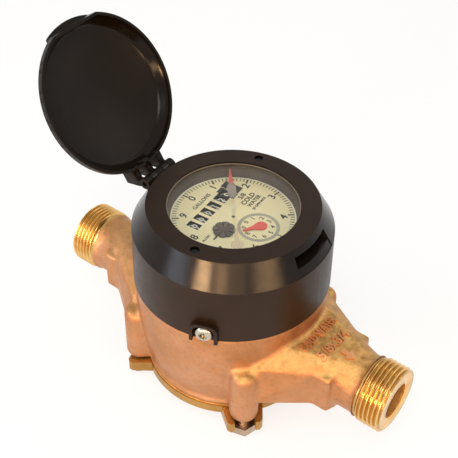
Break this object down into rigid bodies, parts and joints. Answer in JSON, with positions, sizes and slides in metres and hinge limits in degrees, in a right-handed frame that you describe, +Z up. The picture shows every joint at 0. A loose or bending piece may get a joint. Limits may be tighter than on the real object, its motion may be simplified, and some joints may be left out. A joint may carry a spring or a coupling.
{
  "type": "water meter",
  "caption": "Cast bronze water meter with threaded ends, nutating disc chamber, bolted bottom plate and sealed register under a black shroud with hinged lid.",
  "frame": {"origin": "centre of the flat foot under the bottom plate", "axes": "+X along the pipe from inlet to outlet, +Z up through the dial, +Y to the left of the flow"},
  "size_m": [0.1906, 0.0962, 0.1693],
  "materials": {
    "bronze": "sand cast",
    "plate_brass": "as cast",
    "bolt_metal": "plated",
    "steel": "satin",
    "rubber": "matt",
    "chamber_plastic": "moulded",
    "disc_rubber": "hard, moulded",
    "magnet": "sintered",
    "can_brass": "drawn",
    "movement_brass": "stamped",
    "dial_cream": "printed",
    "wheel_black": "printed",
    "star_dark": "satin",
    "red": "satin",
    "bezel_grey": "satin",
    "glass": "clear",
    "black_plastic": "satin, moulded"
  },
  "bodies": {
    "case": {"main_case": "bronze", "bottom_plate": "plate_brass", "plate_gasket": "rubber", "plate_bolts": "bolt_metal", "chamber_base": "chamber_plastic", "chamber_top": "chamber_plastic", "partition_plate": "steel", "strainer": "steel", "outlet_seal": "rubber", "register_can": "can_brass", "movement_base": "movement_brass", "movement_bridge": "movement_brass", "number_shaft": "steel", "dial_plate": "dial_cream", "bezel_ring": "bezel_grey", "window_glass": "glass", "shroud": "black_plastic", "seal_screw": "steel", "hinge_pin": "steel"},
    "drive": {"disc_driver": "chamber_plastic", "drive_magnet": "magnet"},
    "disc": {"nutating_disc": "disc_rubber"},
    "follower": {"follower_magnet": "magnet"},
    "star": {"star_arbor": "movement_brass", "leak_star": "star_dark"},
    "second": {"second_arbor": "movement_brass"},
    "pointer": {"pointer_arbor": "movement_brass", "dial_pointer": "red"},
    "idler": {"idler_arbor": "movement_brass"},
    "centre": {"centre_arbor": "movement_brass", "sweep_hand": "red"},
    "lid": {"lid": "black_plastic"},
    "wheel_1": {"number_wheel_1": "wheel_black"},
    "wheel_2": {"number_wheel_2": "wheel_black"},
    "wheel_3": {"number_wheel_3": "wheel_black"},
    "wheel_4": {"number_wheel_4": "wheel_black"},
    "wheel_5": {"number_wheel_5": "wheel_black"},
    "wheel_6": {"number_wheel_6": "wheel_black"}
  },
  "joints": [
    {"name": "lid_hinge", "type": "hinge", "parent": "case", "child": "lid", "pos_m": [-0.04376, -0.00191, 0.1042], "axis": [-0.0436, 0.999, 0], "range_deg": [0, 122]},
    {"name": "drive_spin", "type": "hinge", "parent": "case", "child": "drive", "pos_m": [0, 0, 0.037], "axis": [0, 0, 1], "continuous": true},
    {"name": "disc_nutation", "type": "hinge", "parent": "drive", "child": "disc", "pos_m": [0, 0, 0.037], "axis": [0.1908, 0, 0.9816], "continuous": true},
    {"name": "follower_spin", "type": "hinge", "parent": "case", "child": "follower", "pos_m": [0, 0, 0.075], "axis": [0, 0, 1], "continuous": true},
    {"name": "star_spin", "type": "hinge", "parent": "case", "child": "star", "pos_m": [0.00245, -0.01021, 0.085], "axis": [0, 0, 1], "continuous": true},
    {"name": "second_spin", "type": "hinge", "parent": "case", "child": "second", "pos_m": [0.01291, -0.0093, 0.085], "axis": [0, 0, 1], "continuous": true},
    {"name": "pointer_spin", "type": "hinge", "parent": "case", "child": "pointer", "pos_m": [0.01355, 0.00119, 0.085], "axis": [0, 0, 1], "continuous": true},
    {"name": "idler_spin", "type": "hinge", "parent": "case", "child": "idler", "pos_m": [0.00694, 0.00692, 0.09], "axis": [0, 0, 1], "continuous": true},
    {"name": "centre_spin", "type": "hinge", "parent": "case", "child": "centre", "pos_m": [0, 0, 0.095], "axis": [0, 0, 1], "continuous": true},
    {"name": "number_spin_1", "type": "hinge", "parent": "case", "child": "wheel_1", "pos_m": [-0.01046, -0.01587, 0.093], "axis": [-0.0872, 0.9962, 0], "continuous": true},
    {"name": "number_spin_2", "type": "hinge", "parent": "case", "child": "wheel_2", "pos_m": [-0.01094, -0.01029, 0.093], "axis": [-0.0872, 0.9962, 0], "continuous": true},
    {"name": "number_spin_3", "type": "hinge", "parent": "case", "child": "wheel_3", "pos_m": [-0.01143, -0.00471, 0.093], "axis": [-0.0872, 0.9962, 0], "continuous": true},
    {"name": "number_spin_4", "type": "hinge", "parent": "case", "child": "wheel_4", "pos_m": [-0.01192, 0.00086, 0.093], "axis": [-0.0872, 0.9962, 0], "continuous": true},
    {"name": "number_spin_5", "type": "hinge", "parent": "case", "child": "wheel_5", "pos_m": [-0.01242, 0.00654, 0.093], "axis": [-0.0872, 0.9962, 0], "continuous": true},
    {"name": "number_spin_6", "type": "hinge", "parent": "case", "child": "wheel_6", "pos_m": [-0.01283, 0.01122, 0.093], "axis": [-0.0872, 0.9962, 0], "continuous": true}
  ],
  "couplings": [
    {"joint": "disc_nutation", "follows": "drive_spin", "ratio": -1},
    {"joint": "follower_spin", "follows": "drive_spin", "ratio": 1},
    {"joint": "star_spin", "follows": "drive_spin", "ratio": -0.25},
    {"joint": "second_spin", "follows": "drive_spin", "ratio": 0.0625},
    {"joint": "pointer_spin", "follows": "drive_spin", "ratio": -0.015625},
    {"joint": "idler_spin", "follows": "drive_spin", "ratio": 0.0039062},
    {"joint": "centre_spin", "follows": "drive_spin", "ratio": -0.0015625},
    {"joint": "number_spin_1", "follows": "number_spin_6", "ratio": 0.00001},
    {"joint": "number_spin_2", "follows": "number_spin_6", "ratio": 0.0001},
    {"joint": "number_spin_3", "follows": "number_spin_6", "ratio": 0.001},
    {"joint": "number_spin_4", "follows": "number_spin_6", "ratio": 0.01},
    {"joint": "number_spin_5", "follows": "number_spin_6", "ratio": 0.1}
  ]
}
